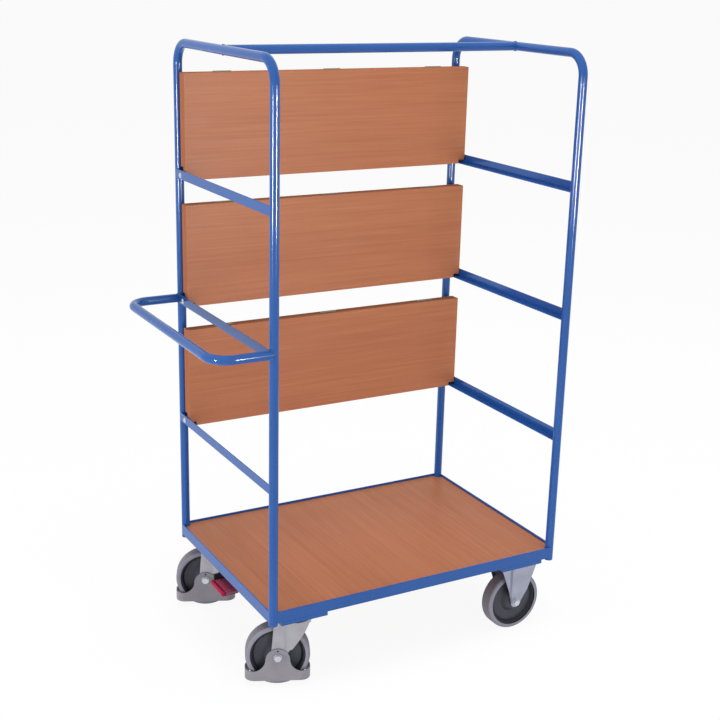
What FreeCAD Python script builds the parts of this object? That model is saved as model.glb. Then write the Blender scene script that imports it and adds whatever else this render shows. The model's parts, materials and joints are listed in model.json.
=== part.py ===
import FreeCAD, Part
import Sketcher
import math
import os
from types import SimpleNamespace

# Shelf trolley with three fold-away shelves. Millimetres, Z up, floor at Z = 0.
# X runs along the trolley with the push handle at the negative end, Y runs from the open front to the rear.

driving_sizes = {
    # welded tube frame
    "tube_diameter": 28.0,
    "tube_wall": 2.0,
    "post_span_length": 1020.0,
    "post_span_width": 700.0,
    "post_drop": 48.0,
    "top_bar_height": 1890.0,
    "frame_bend_radius": 67.0,
    "handle_reach": 181.0,
    "handle_bend_radius": 62.0,
    # loading deck
    "deck_edge_height": 283.0,
    "deck_angle_leg": 38.0,
    "deck_angle_wall": 4.0,
    "deck_board_thickness": 27.0,
    "board_gap": 1.0,
    "edge_round": 0.8,
    # castor carriers
    "carrier_width": 156.0,
    "carrier_depth": 12.0,
    "carrier_wall": 4.0,
    "carrier_shift": 4.0,
    # shelf rails
    "rail_leg": 29.0,
    "rail_wall": 3.0,
    "shelf_pitch": 406.7,
    # folding shelves
    "panel_thickness": 18.0,
    "panel_end_gap": 3.0,
    "panel_round": 1.5,
    "pivot_setback": 42.0,
    "panel_reach": 316.0,
    "panel_heel": 14.0,
    "panel_toe": 12.5,
    "heel_notch_height": 27.0,
    "notch_clearance": 1.0,
    "flange_clearance": 0.5,
    "fold_gap": 1.5,
    # shelf pivots
    "pivot_bolt_diameter": 8.0,
    "pivot_bolt_depth": 40.0,
    "pivot_head_diameter": 18.0,
    "pivot_head_height": 5.0,
    "pivot_bush_diameter": 14.0,
    "side_play": 0.5,
    "running_clearance": 0.05,
    # shelf hinges
    "hinge_length": 60.0,
    "hinge_spacing": 385.0,
    "hinge_barrel_diameter": 6.0,
    "hinge_pin_diameter": 3.0,
    "hinge_leaf_width": 25.0,
    "hinge_leaf_thickness": 1.5,
    "hinge_tab_length": 15.0,
    "hinge_rise": 0.5,
    "hinge_gap": 0.5,
    # wheels
    "wheel_diameter": 200.0,
    "tread_width": 48.0,
    "tread_shoulder": 8.0,
    "rim_diameter": 170.0,
    "rim_width": 40.0,
    "rim_lip": 5.0,
    "rim_web": 18.0,
    "dish_diameter": 146.0,
    "hub_diameter": 54.0,
    "hub_foot_diameter": 84.0,
    "hub_width": 56.0,
    "hub_bore_diameter": 20.0,
    "bearing_diameter": 32.0,
    "bearing_width": 10.0,
    "bearing_recess": 1.0,
    "axle_diameter": 12.0,
    "axle_nut_width": 19.0,
    "axle_nut_height": 8.0,
    "axle_washer_diameter": 26.0,
    "axle_washer_thickness": 2.0,
    # castor plates and their bolts
    "plate_length": 138.0,
    "plate_width": 92.0,
    "plate_thickness": 5.0,
    "plate_bolt_length_pitch": 100.0,
    "plate_bolt_width_pitch": 64.0,
    "plate_bolt_diameter": 8.0,
    "plate_bolt_head_width": 13.0,
    "plate_bolt_head_height": 5.3,
    "plate_hole_diameter": 9.0,
    # swivel castors
    "swivel_setback": 95.0,
    "swivel_edge_setback": 76.0,
    "swivel_shift": 15.0,
    "swivel_offset": 52.0,
    "swivel_angle": 24.0,
    "raceway_diameter": 78.0,
    "raceway_depth": 12.0,
    "turning_gap": 0.5,
    "fork_head_diameter": 103.0,
    "fork_head_depth": 13.0,
    "fork_leg_drop": 8.0,
    "fork_wall": 4.0,
    "fork_gap": 60.0,
    "leg_end_diameter": 42.0,
    "leg_front_lean": 9.0,
    "fork_skirt_diameter": 92.0,
    "leg_skirt_height": 113.0,
    "kingpin_diameter": 12.0,
    "kingpin_nut_width": 19.0,
    "kingpin_nut_height": 8.0,
    # foot guards
    "guard_wall": 3.0,
    "guard_length": 202.0,
    "guard_end_radius": 30.5,
    "guard_floor_gap": 20.0,
    "guard_end_height": 32.0,
    "guard_shoulder": 70.0,
    "guard_arch_radius": 38.0,
    "guard_hollow_radius": 40.0,
    "guard_arch_drop": 10.0,
    # fixed castors
    "fixed_setback": 121.0,
    "fixed_edge_setback": 53.0,
    "bracket_leg_width": 138.0,
    "bracket_flat_width": 34.0,
    "bracket_fold": 12.0,
    "bracket_fold_run": 19.0,
    "bracket_end_diameter": 38.0,
    # central brake
    "brake_setback": 60.0,
    "brake_shaft_drop": 18.0,
    "brake_shaft_diameter": 12.0,
    "brake_shaft_length": 588.0,
    "brake_shaft_overhang": 6.0,
    "brake_finger_reach": 13.0,
    "brake_finger_width": 12.0,
    "brake_finger_height": 3.0,
    "hanger_width": 18.0,
    "hanger_thickness": 5.0,
    "hanger_tail": 9.0,
    "hanger_inner_spacing": 31.0,
    "hanger_outer_spacing": 84.0,
    "pedal_width": 98.0,
    "pedal_reach": 66.0,
    "pedal_length": 50.0,
    "pedal_drop": 19.0,
    "pedal_thickness": 8.0,
    "pedal_lip_diameter": 15.0,
    "pedal_corner_radius": 13.0,
    "pedal_stud_width": 4.0,
    "pedal_stud_length": 9.0,
    "pedal_stud_gap": 2.5,
    "pedal_stud_height": 2.0,
    "pedal_arm_thickness": 8.0,
    "pedal_arm_rise": 4.0,
    "pedal_strut_height": 6.0,
    "pedal_strut_inset": 7.0,
    # overshoot of every cutting tool
    "cut_margin": 1.0,
}

document = FreeCAD.newDocument("shelf_trolley")
sheet = document.addObject("Spreadsheet::Sheet", "Sizes")
for row, (alias, number) in enumerate(driving_sizes.items(), start=1):
    sheet.set(f"A{row}", alias)
    sheet.set(f"B{row}", str(number))
    sheet.setAlias(f"B{row}", alias)
document.recompute()


class Size:
    """A size known both as a number and as the expression that binds it to the sheet."""

    def __init__(self, value, text):
        self.value = value
        self.text = text

    def __add__(self, other):
        other = as_size(other)
        return Size(self.value + other.value, f"({self.text} + {other.text})")

    def __sub__(self, other):
        other = as_size(other)
        return Size(self.value - other.value, f"({self.text} - {other.text})")

    def __mul__(self, other):
        other = as_size(other)
        return Size(self.value * other.value, f"({self.text} * {other.text})")

    def __truediv__(self, other):
        other = as_size(other)
        return Size(self.value / other.value, f"({self.text} / {other.text})")

    def __neg__(self):
        return Size(-self.value, f"(0 - {self.text})")

    def __radd__(self, other):
        return as_size(other) + self

    def __rsub__(self, other):
        return as_size(other) - self

    def __rmul__(self, other):
        return as_size(other) * self


def as_size(item):
    if isinstance(item, Size):
        return item
    return Size(float(item), f"({item})")


def cosine(angle):
    return Size(math.cos(math.radians(angle.value)), f"cos({angle.text} * 1 deg)")


def sine(angle):
    return Size(math.sin(math.radians(angle.value)), f"sin({angle.text} * 1 deg)")


def in_order(*sizes):
    return sorted(sizes, key=lambda size: size.value)


s = SimpleNamespace(**{alias: Size(number, f"Sizes.{alias}") for alias, number in driving_sizes.items()})
nodes = []

turned_along = {
    "x": FreeCAD.Rotation(FreeCAD.Vector(0, 1, 0), 90),
    "y": FreeCAD.Rotation(FreeCAD.Vector(1, 0, 0), -90),
    "z": FreeCAD.Rotation(),
}
sketch_planes = {
    "xy": FreeCAD.Rotation(),
    "xz": FreeCAD.Rotation(FreeCAD.Vector(1, 0, 0), 90),
    "yz": FreeCAD.Rotation(FreeCAD.Vector(1, 1, 1), 120),
}


# General helpers


def set_sizes(item, **sizes):
    for name, size in sizes.items():
        item.setExpression(name, as_size(size).text)


def put(item, x=0, y=0, z=0):
    set_sizes(item, **{"Placement.Base.x": x, "Placement.Base.y": y, "Placement.Base.z": z})
    return item


def turn(item, angle, axis):
    item.Placement = FreeCAD.Placement(FreeCAD.Vector(), FreeCAD.Rotation(FreeCAD.Vector(*axis), angle.value))
    set_sizes(item, **{"Placement.Rotation.Angle": angle})
    return item


def finish(item, label, x=0, y=0, z=0):
    """Names a finished piece and sets it on the trolley, whose origin is below the middle of its box."""
    item.Label = label
    put(item, middle + x, y, z)
    nodes.append(item)
    return item


def block(low, high):
    """A box between two opposite corners."""
    item = document.addObject("Part::Box", "block")
    edges = zip(("Length", "Width", "Height"), low, high)
    set_sizes(item, **{name: as_size(end) - start for name, start, end in edges})
    return put(item, *low)


def rod(radius, start, stop, axis="z", across=(0, 0)):
    """A cylinder along an axis, from start to stop, with its place across that axis."""
    item = document.addObject("Part::Cylinder", "rod")
    item.Placement.Rotation = turned_along[axis]
    set_sizes(item, Radius=radius, Height=as_size(stop) - start)
    place = list(across)
    place.insert("xyz".index(axis), start)
    return put(item, *place)


def ball(radius, x, y, z):
    item = document.addObject("Part::Sphere", "ball")
    set_sizes(item, Radius=radius)
    return put(item, x, y, z)


def hexagon(width, start, stop, axis="z", across=(0, 0)):
    """A hexagonal head or nut of a given width across flats."""
    item = document.addObject("Part::Prism", "hexagon")
    item.Polygon = 6
    item.Placement.Rotation = turned_along[axis]
    set_sizes(item, Circumradius=width / math.sqrt(3), Height=as_size(stop) - start)
    place = list(across)
    place.insert("xyz".index(axis), start)
    return put(item, *place)


def fuse(*items):
    item = document.addObject("Part::MultiFuse", "fused")
    item.Shapes = list(items)
    return item


def cut(base, *tools):
    item = document.addObject("Part::Cut", "cut")
    item.Base = base
    item.Tool = tools[0] if len(tools) == 1 else fuse(*tools)
    return item


def common(*items):
    item = document.addObject("Part::MultiCommon", "common")
    item.Shapes = list(items)
    return item


def group(items):
    item = document.addObject("Part::Compound", "group")
    item.Links = list(items)
    return item


# Sketch helpers


def bind(sketch, constraint, size):
    index = sketch.addConstraint(constraint)
    sketch.setExpression(f"Constraints[{index}]", size.text)


def pin(sketch, geometry, position, x, y):
    bind(sketch, Sketcher.Constraint("DistanceX", -1, 1, geometry, position, x.value), x)
    bind(sketch, Sketcher.Constraint("DistanceY", -1, 1, geometry, position, y.value), y)


def arc_between(start, stop, radius, side):
    """The short arc from start to stop, with its centre on the left for side 1, on the right for -1."""
    chord = stop - start
    rise = math.sqrt(max(radius ** 2 - (chord.Length / 2) ** 2, 0.0))
    left = FreeCAD.Vector(-chord.y, chord.x, 0).normalize()
    centre = start + chord * 0.5 + left * (rise * side)
    angles = [math.atan2(point.y - centre.y, point.x - centre.x) for point in (start, stop)]
    if side < 0:
        angles.reverse()
    return Part.ArcOfCircle(Part.Circle(centre, FreeCAD.Vector(0, 0, 1), radius), *angles)


def trace(sketch, corners, arcs=None, closed=True):
    """Draws edges through corners. arcs gives (radius, side) for each edge that is an arc."""
    arcs = arcs or {}
    corners = [(as_size(x), as_size(y)) for x, y in corners]
    points = [FreeCAD.Vector(x.value, y.value, 0) for x, y in corners]
    count = len(corners) if closed else len(corners) - 1
    first = sketch.GeometryCount
    ends = []
    for index in range(count):
        start, stop = points[index], points[(index + 1) % len(points)]
        if index in arcs:
            radius, side = arcs[index]
            sketch.addGeometry(arc_between(start, stop, as_size(radius).value, side))
            ends.append((1, 2) if side > 0 else (2, 1))
        else:
            sketch.addGeometry(Part.LineSegment(start, stop))
            ends.append((1, 2))
    for index, (x, y) in enumerate(corners):
        if index < count:
            here, position = first + index, ends[index][0]
        else:
            here, position = first + index - 1, ends[index - 1][1]
        pin(sketch, here, position, x, y)
        if closed or 0 < index < count:
            before = (index - 1) % count
            join = Sketcher.Constraint("Coincident", first + before, ends[before][1], first + index, position)
            sketch.addConstraint(join)
    for index, (radius, side) in arcs.items():
        radius = as_size(radius)
        bind(sketch, Sketcher.Constraint("Radius", first + index, radius.value), radius)


def ring(sketch, radius, x=0, y=0):
    x, y, radius = as_size(x), as_size(y), as_size(radius)
    centre = FreeCAD.Vector(x.value, y.value, 0)
    circle = sketch.addGeometry(Part.Circle(centre, FreeCAD.Vector(0, 0, 1), radius.value))
    pin(sketch, circle, 3, x, y)
    bind(sketch, Sketcher.Constraint("Radius", circle, radius.value), radius)


def prism(plane, depth, corners, arcs=None):
    """A flat outline in a plane through the origin, thickened evenly to both sides."""
    sketch = document.addObject("Sketcher::SketchObject", "outline")
    sketch.Placement.Rotation = sketch_planes[plane]
    trace(sketch, corners, arcs)
    item = document.addObject("Part::Extrusion", "prism")
    item.Base = sketch
    item.DirMode = "Normal"
    item.Solid = True
    item.Symmetric = True
    set_sizes(item, LengthFwd=depth)
    return item


def turned(corners, arcs=None):
    """A ring turned about the Y axis from corners given along the axis and out from it."""
    sketch = document.addObject("Sketcher::SketchObject", "section")
    sketch.Placement.Rotation = sketch_planes["yz"]
    trace(sketch, corners, arcs)
    item = document.addObject("Part::Revolution", "turned")
    item.Source = sketch
    item.Axis = FreeCAD.Vector(0, 1, 0)
    item.Angle = 360
    item.Solid = True
    return item


# Body helpers


def new_body(label):
    return document.addObject("PartDesign::Body", label)


def body_sketch(body, plane):
    sketch = body.newObject("Sketcher::SketchObject", "sketch")
    planes = {feature.Role: feature for feature in body.Origin.OriginFeatures}
    sketch.AttachmentSupport = [(planes[plane], "")]
    sketch.MapMode = "FlatFace"
    return sketch


def pad(body, sketch, length):
    feature = body.newObject("PartDesign::Pad", "pad")
    feature.Profile = sketch
    feature.SideType = "Symmetric"
    set_sizes(feature, Length=length)
    return feature


def soften(body, feature, radius):
    """Rounds all edges of the last feature."""
    document.recompute()
    rounding = body.newObject("PartDesign::Fillet", "rounding")
    rounding.Base = (feature, ["Edge1"])
    rounding.UseAllEdges = True
    set_sizes(rounding, Radius=radius)
    return rounding


def pocket(body, sketch):
    feature = body.newObject("PartDesign::Pocket", "pocket")
    feature.Profile = sketch
    feature.Type = "ThroughAll"
    feature.SideType = "Symmetric"
    return feature


def pipe(body, path_plane, section_plane, corners, arcs):
    """A round tube along a path that starts at the body's origin."""
    path = body_sketch(body, path_plane)
    trace(path, corners, arcs, closed=False)
    section = body_sketch(body, section_plane)
    ring(section, tube_radius)
    ring(section, tube_radius - s.tube_wall)
    document.recompute()
    feature = body.newObject("PartDesign::AdditivePipe", "pipe")
    feature.Profile = section
    feature.Spine = (path, [f"Edge{index + 1}" for index in range(len(path.Shape.Edges))])
    return feature


# Shared places

tube_radius = s.tube_diameter / 2
half_length = s.post_span_length / 2
half_width = s.post_span_width / 2
outer_x = half_length + tube_radius
outer_y = half_width + tube_radius
middle = (s.handle_reach - s.pivot_head_height) / 2

deck_angle_bottom = s.deck_edge_height - s.deck_angle_leg
plate_top = deck_angle_bottom - s.carrier_wall
plate_bottom = plate_top - s.plate_thickness
kingpin_x = s.swivel_setback - half_length
fixed_x = half_length - s.fixed_setback
wheel_radius = s.wheel_diameter / 2
swivel_half_spacing = outer_y - s.swivel_edge_setback
fixed_half_spacing = outer_y - s.fixed_edge_setback
swivel_y = {side: swivel_half_spacing * side - s.swivel_shift for side in (-1, 1)}
fixed_y = {side: fixed_half_spacing * side for side in (-1, 1)}

rail_tops = [s.deck_edge_height + s.shelf_pitch * level for level in (1, 2, 3)]
level_names = ("lower", "middle", "upper")
pivot_y = half_width - s.pivot_setback
pivot_above_rail_bottom = s.rail_wall + s.flange_clearance + s.panel_thickness / 2
post_corners = [(x, y) for x in (-1, 1) for y in (-1, 1)]
castor_rows = (("front", -1), ("rear", 1))


# Welded frame


def end_frame(label, side):
    body = new_body(label)
    height = s.top_bar_height - s.deck_edge_height + s.post_drop
    bend = s.frame_bend_radius
    corners = [
        (0, 0),
        (0, height - bend),
        (bend, height),
        (s.post_span_width - bend, height),
        (s.post_span_width, height - bend),
        (s.post_span_width, 0),
    ]
    pipe(body, "YZ_Plane", "XY_Plane", corners, {1: (bend, -1), 3: (bend, -1)})
    finish(body, label, half_length * side, -half_width, s.deck_edge_height - s.post_drop)


def top_tie_tube():
    body = new_body("top_tie_tube")
    section = body_sketch(body, "YZ_Plane")
    ring(section, tube_radius)
    ring(section, tube_radius - s.tube_wall)
    pad(body, section, s.post_span_length)
    saddles = body_sketch(body, "XZ_Plane")
    ring(saddles, tube_radius, -half_length)
    ring(saddles, tube_radius, half_length)
    pocket(body, saddles)
    finish(body, "top_tie_tube", z=s.top_bar_height)


def push_handle():
    body = new_body("push_handle")
    reach = s.handle_reach
    bend = s.handle_bend_radius
    corners = [
        (0, 0),
        (bend - reach, 0),
        (-reach, bend),
        (-reach, s.post_span_width - bend),
        (bend - reach, s.post_span_width),
        (0, s.post_span_width),
    ]
    pipe(body, "XY_Plane", "YZ_Plane", corners, {1: (bend, -1), 3: (bend, -1)})
    saddles = body_sketch(body, "XY_Plane")
    ring(saddles, tube_radius)
    ring(saddles, tube_radius, 0, s.post_span_width)
    pocket(body, saddles)
    rail_seat = body_sketch(body, "XY_Plane")
    trace(rail_seat, [
        (-tube_radius, 0),
        (0, 0),
        (0, s.post_span_width),
        (-tube_radius, s.post_span_width),
    ])
    pocket(body, rail_seat)
    finish(body, "push_handle", -half_length, -half_width, rail_tops[1] - s.rail_leg / 2)


def angle_corners(leg, wall, inward):
    """An L section with its heel at the origin, one leg up and one leg inward."""
    corners = [(0, 0), (leg, 0), (leg, wall), (wall, wall), (wall, leg), (0, leg)]
    return [(as_size(x) * inward, y) for x, y in corners]


def shelf_rail(label, side, top):
    body = new_body(label)
    section = body_sketch(body, "XZ_Plane")
    trace(section, angle_corners(s.rail_leg, s.rail_wall, -side))
    soften(body, pad(body, section, s.post_span_width), s.edge_round)
    saddles = body_sketch(body, "XY_Plane")
    ring(saddles, tube_radius, tube_radius * -side, -half_width)
    ring(saddles, tube_radius, tube_radius * -side, half_width)
    pocket(body, saddles)
    pivot_hole = body_sketch(body, "YZ_Plane")
    ring(pivot_hole, s.pivot_bolt_diameter / 2 + s.running_clearance, pivot_y, pivot_above_rail_bottom)
    pocket(body, pivot_hole)
    finish(body, label, outer_x * side, 0, top - s.rail_leg)


def long_deck_angle(label, side):
    body = new_body(label)
    section = body_sketch(body, "YZ_Plane")
    trace(section, angle_corners(s.deck_angle_leg, s.deck_angle_wall, -side))
    soften(body, pad(body, section, s.post_span_length), s.edge_round)
    saddles = body_sketch(body, "XY_Plane")
    ring(saddles, tube_radius, -half_length, tube_radius * -side)
    ring(saddles, tube_radius, half_length, tube_radius * -side)
    pocket(body, saddles)
    finish(body, label, 0, outer_y * side, deck_angle_bottom)


def cross_deck_angle(label, side):
    """A short deck angle whose flat leg stops at the flat legs of the long angles."""
    body = new_body(label)
    section = body_sketch(body, "XZ_Plane")
    trace(section, angle_corners(s.deck_angle_leg, s.deck_angle_wall, -side))
    soften(body, pad(body, section, s.post_span_width), s.edge_round)
    saddles = body_sketch(body, "XY_Plane")
    for end in (-1, 1):
        ring(saddles, tube_radius, tube_radius * -side, half_width * end)
    pocket(body, saddles)
    flat_ends = body_sketch(body, "XY_Plane")
    near = s.deck_angle_wall * -side
    far = (s.deck_angle_leg + s.board_gap) * -side
    for end in (-1, 1):
        stop = (outer_y - s.deck_angle_leg) * end
        past = outer_y * end
        trace(flat_ends, [(near, stop), (far, stop), (far, past), (near, past)])
    pocket(body, flat_ends)
    finish(body, label, outer_x * side, 0, deck_angle_bottom)


def deck_board():
    body = new_body("deck_board")
    half_x = outer_x - s.deck_angle_wall - s.board_gap
    half_y = outer_y - s.deck_angle_wall - s.board_gap
    section = body_sketch(body, "XY_Plane")
    trace(section, [(-half_x, -half_y), (half_x, -half_y), (half_x, half_y), (-half_x, half_y)])
    soften(body, pad(body, section, s.deck_board_thickness), s.panel_round)
    corners = body_sketch(body, "XY_Plane")
    for x, y in post_corners:
        ring(corners, tube_radius + s.board_gap, half_length * x, half_width * y)
    pocket(body, corners)
    rest = deck_angle_bottom + s.deck_angle_wall
    finish(body, "deck_board", 0, 0, rest + s.deck_board_thickness / 2)


# Castor carriers and plate bolts


def plate_holes(radius, start, stop, x=0, y=0):
    """Four rods at the corners of a castor plate's bolt pattern."""
    along = s.plate_bolt_length_pitch / 2
    aside = s.plate_bolt_width_pitch / 2
    return [rod(radius, start, stop, "z", (x + along * i, y + aside * j)) for i, j in post_corners]


def castor_carrier(label, castor_x, castor_y):
    centre = castor_x + s.carrier_shift
    half = s.carrier_width / 2
    bottom = deck_angle_bottom - s.carrier_depth
    inner = half - s.carrier_wall
    inner_y = outer_y - s.carrier_wall
    shell = block((centre - half, -outer_y, bottom), (centre + half, outer_y, deck_angle_bottom))
    hollow = block((centre - inner, -inner_y, bottom - s.carrier_wall), (centre + inner, inner_y, plate_top))
    holes = []
    radius = s.plate_hole_diameter / 2
    for side in (-1, 1):
        holes += plate_holes(radius, plate_top - s.carrier_wall, s.deck_edge_height, castor_x, castor_y[side])
    finish(cut(shell, hollow, *holes), label)


def castor_plate_bolts():
    bolts = []
    along = s.plate_bolt_length_pitch / 2
    aside = s.plate_bolt_width_pitch / 2
    for castor_x, castor_y in ((kingpin_x, swivel_y), (fixed_x, fixed_y)):
        for side in (-1, 1):
            for i, j in post_corners:
                across = (castor_x + along * i, castor_y[side] + aside * j)
                shank = rod(s.plate_bolt_diameter / 2, plate_bottom, deck_angle_bottom, "z", across)
                head_bottom = plate_bottom - s.plate_bolt_head_height
                head = hexagon(s.plate_bolt_head_width, head_bottom, plate_bottom, "z", across)
                bolts.append(fuse(shank, head))
    finish(group(bolts), "castor_plate_bolts")


# Wheels, each built around its own centre with the axle along Y


def wheel_place(castor_x, castor_y, trail):
    """The centre of a wheel that trails its castor along the turned fork."""
    x = castor_x - trail * cosine(s.swivel_angle)
    y = castor_y + trail * sine(s.swivel_angle)
    return x, y


def tyre():
    half = s.tread_width / 2
    shoulder = s.tread_shoulder
    seat = s.rim_diameter / 2
    corners = [
        (-half, seat),
        (half, seat),
        (half, wheel_radius - shoulder),
        (half - shoulder, wheel_radius),
        (shoulder - half, wheel_radius),
        (-half, wheel_radius - shoulder),
    ]
    return turned(corners, {2: (shoulder, 1), 4: (shoulder, 1)})


def rim():
    seat = s.rim_diameter / 2
    bearing_end = s.hub_width / 2 - s.bearing_recess - s.bearing_width
    half_section = [
        (s.rim_width / 2, seat),
        (s.rim_width / 2, seat - s.rim_lip),
        (s.rim_web / 2, s.dish_diameter / 2),
        (s.rim_web / 2, s.hub_foot_diameter / 2),
        (s.hub_width / 2, s.hub_diameter / 2),
        (s.hub_width / 2, s.bearing_diameter / 2),
        (bearing_end, s.bearing_diameter / 2),
        (bearing_end, s.hub_bore_diameter / 2),
    ]
    other_half = [(-u, v) for u, v in reversed(half_section)]
    return turned(half_section + other_half)


def wheel_bearings():
    outside = s.hub_width / 2 - s.bearing_recess
    inside = outside - s.bearing_width
    bore = s.axle_diameter / 2 + s.running_clearance
    races = []
    for side in (-1, 1):
        low, high = in_order(outside * side, inside * side)
        outer = s.bearing_diameter / 2
        races.append(turned([(low, bore), (high, bore), (high, outer), (low, outer)]))
    return group(races)


def wheel_set(name, castor_x, castor_y, trail):
    x, y = wheel_place(castor_x, castor_y, trail)
    for piece, label in ((tyre(), "tyre"), (rim(), "rim"), (wheel_bearings(), "bearings")):
        if trail.value:
            turn(piece, s.swivel_angle, (0, 0, -1))
        finish(piece, f"{name}_wheel_{label}", x, y, wheel_radius)


def axle_bolt(half_grip):
    """A through bolt along Y with a washer and a hexagon at each end, around the wheel centre."""
    washer = half_grip + s.axle_washer_thickness
    end = washer + s.axle_nut_height
    shank = rod(s.axle_diameter / 2, -end, end, "y")
    pieces = [shank]
    for side in (-1, 1):
        low, high = in_order(half_grip * side, washer * side)
        pieces.append(rod(s.axle_washer_diameter / 2, low, high, "y"))
        low, high = in_order(washer * side, end * side)
        pieces.append(hexagon(s.axle_nut_width, low, high, "y"))
    return fuse(*pieces)


def axle_way(half_grip, axle_x=0):
    """The hole for an axle through everything within the grip."""
    reach = half_grip + s.cut_margin
    return rod(s.axle_diameter / 2, -reach, reach, "y", (axle_x, wheel_radius))


# Swivel castors, built around the kingpin and then turned

raceway_bottom = plate_bottom - s.raceway_depth
fork_top = raceway_bottom - s.turning_gap
fork_bottom = fork_top - s.fork_head_depth
fork_inside = s.fork_gap / 2
fork_outside = fork_inside + s.fork_wall
guard_outside = fork_outside + s.guard_wall
guard_arch_z = wheel_radius - s.guard_arch_drop


def swivel_plate(name, side):
    half_x = s.plate_length / 2
    half_y = s.plate_width / 2
    plate = block((-half_x, -half_y, plate_bottom), (half_x, half_y, plate_top))
    raceway = rod(s.raceway_diameter / 2, raceway_bottom, plate_top)
    bore = rod(s.kingpin_diameter / 2, raceway_bottom - s.turning_gap, deck_angle_bottom)
    holes = plate_holes(s.plate_hole_diameter / 2, raceway_bottom, deck_angle_bottom)
    item = cut(fuse(plate, raceway), bore, *holes)
    finish(item, f"swivel_plate_{name}", kingpin_x, swivel_y[side])


def kingpins():
    pins = []
    nut_top = fork_bottom - s.turning_gap
    nut_bottom = nut_top - s.kingpin_nut_height
    for side in (-1, 1):
        across = (kingpin_x, swivel_y[side])
        shank = rod(s.kingpin_diameter / 2, nut_bottom, plate_top, "z", across)
        nut = hexagon(s.kingpin_nut_width, nut_bottom, nut_top, "z", across)
        pins.append(fuse(shank, nut))
    finish(group(pins), "kingpins")


def fork(name, side):
    """A pressed fork: two flat legs that run into a round skirt under the turning head."""
    axle_x = -s.swivel_offset
    end = s.leg_end_diameter / 2
    front = axle_x - end
    head_radius = s.fork_head_diameter / 2
    skirt_radius = s.fork_skirt_diameter / 2
    skirt_top = fork_top - s.fork_leg_drop
    skirt_bottom = guard_arch_z + s.guard_arch_radius + s.turning_gap * 2
    side_view = prism("xz", s.fork_head_diameter * 2, [
        (front, wheel_radius),
        (axle_x, wheel_radius - end),
        (axle_x + end, wheel_radius),
        (head_radius, wheel_radius + s.leg_skirt_height),
        (head_radius, skirt_top),
        (front + s.leg_front_lean, skirt_top),
    ], {0: (end, 1), 1: (end, 1)})
    legs = [
        block((front, fork_inside, 0), (0, fork_outside, skirt_top)),
        block((front, -fork_outside, 0), (0, -fork_inside, skirt_top)),
    ]
    skirt_way = rod(skirt_radius - s.fork_wall, skirt_bottom - s.cut_margin, fork_top)
    wheel_way = block((front, -fork_inside, skirt_bottom - s.cut_margin), (0, fork_inside, fork_top))
    skirt = cut(rod(skirt_radius, skirt_bottom, skirt_top), skirt_way, wheel_way)
    sides = common(fuse(skirt, *legs), side_view)
    head = rod(head_radius, fork_bottom, fork_top)
    bore_radius = s.kingpin_diameter / 2 + s.running_clearance
    bore = rod(bore_radius, fork_bottom - s.cut_margin, fork_top + s.cut_margin)
    axle_hole = axle_way(fork_outside, axle_x)
    item = cut(fuse(head, sides), bore, axle_hole)
    turn(item, s.swivel_angle, (0, 0, -1))
    finish(item, f"swivel_fork_{name}", kingpin_x, swivel_y[side])


def rounded_plan(half_x, half_y, radius, centre_x, depth):
    """A rounded rectangle in plan, thickened evenly about Z = 0."""
    low, high = centre_x - half_x, centre_x + half_x
    corners = [
        (low + radius, -half_y),
        (high - radius, -half_y),
        (high, radius - half_y),
        (high, half_y - radius),
        (high - radius, half_y),
        (low + radius, half_y),
        (low, half_y - radius),
        (low, radius - half_y),
    ]
    return prism("xy", depth, corners, {edge: (radius, 1) for edge in (1, 3, 5, 7)})


def foot_guard(name, side):
    """A skirt round the foot of the wheel with bell-shaped sides that hang from the axle."""
    axle_x = -s.swivel_offset
    half = s.guard_length / 2
    arch = s.guard_arch_radius
    low = s.guard_floor_gap
    shoulder = low + s.guard_end_height
    hollow = s.guard_hollow_radius
    bell = prism("xz", guard_outside * 4, [
        (axle_x - half, low),
        (axle_x + half, low),
        (axle_x + half, shoulder),
        (axle_x + s.guard_shoulder, shoulder),
        (axle_x + arch, guard_arch_z),
        (axle_x, guard_arch_z + arch),
        (axle_x - arch, guard_arch_z),
        (axle_x - s.guard_shoulder, shoulder),
        (axle_x - half, shoulder),
    ], {3: (hollow, -1), 4: (arch, 1), 5: (arch, 1), 6: (hollow, -1)})
    depth = s.wheel_diameter * 2
    radius = s.guard_end_radius
    wall = s.guard_wall
    outside = rounded_plan(half, guard_outside, radius, axle_x, depth)
    inside = rounded_plan(half - wall, fork_outside, radius - wall, axle_x, depth + wall)
    item = common(cut(outside, inside, axle_way(guard_outside, axle_x)), bell)
    turn(item, s.swivel_angle, (0, 0, -1))
    finish(item, f"foot_guard_{name}", kingpin_x, swivel_y[side])


def swivel_axle(name, side):
    x, y = wheel_place(kingpin_x, swivel_y[side], s.swivel_offset)
    item = turn(axle_bolt(guard_outside), s.swivel_angle, (0, 0, -1))
    finish(item, f"swivel_axle_{name}", x, y, wheel_radius)


# Fixed castors, built around the axle


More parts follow.
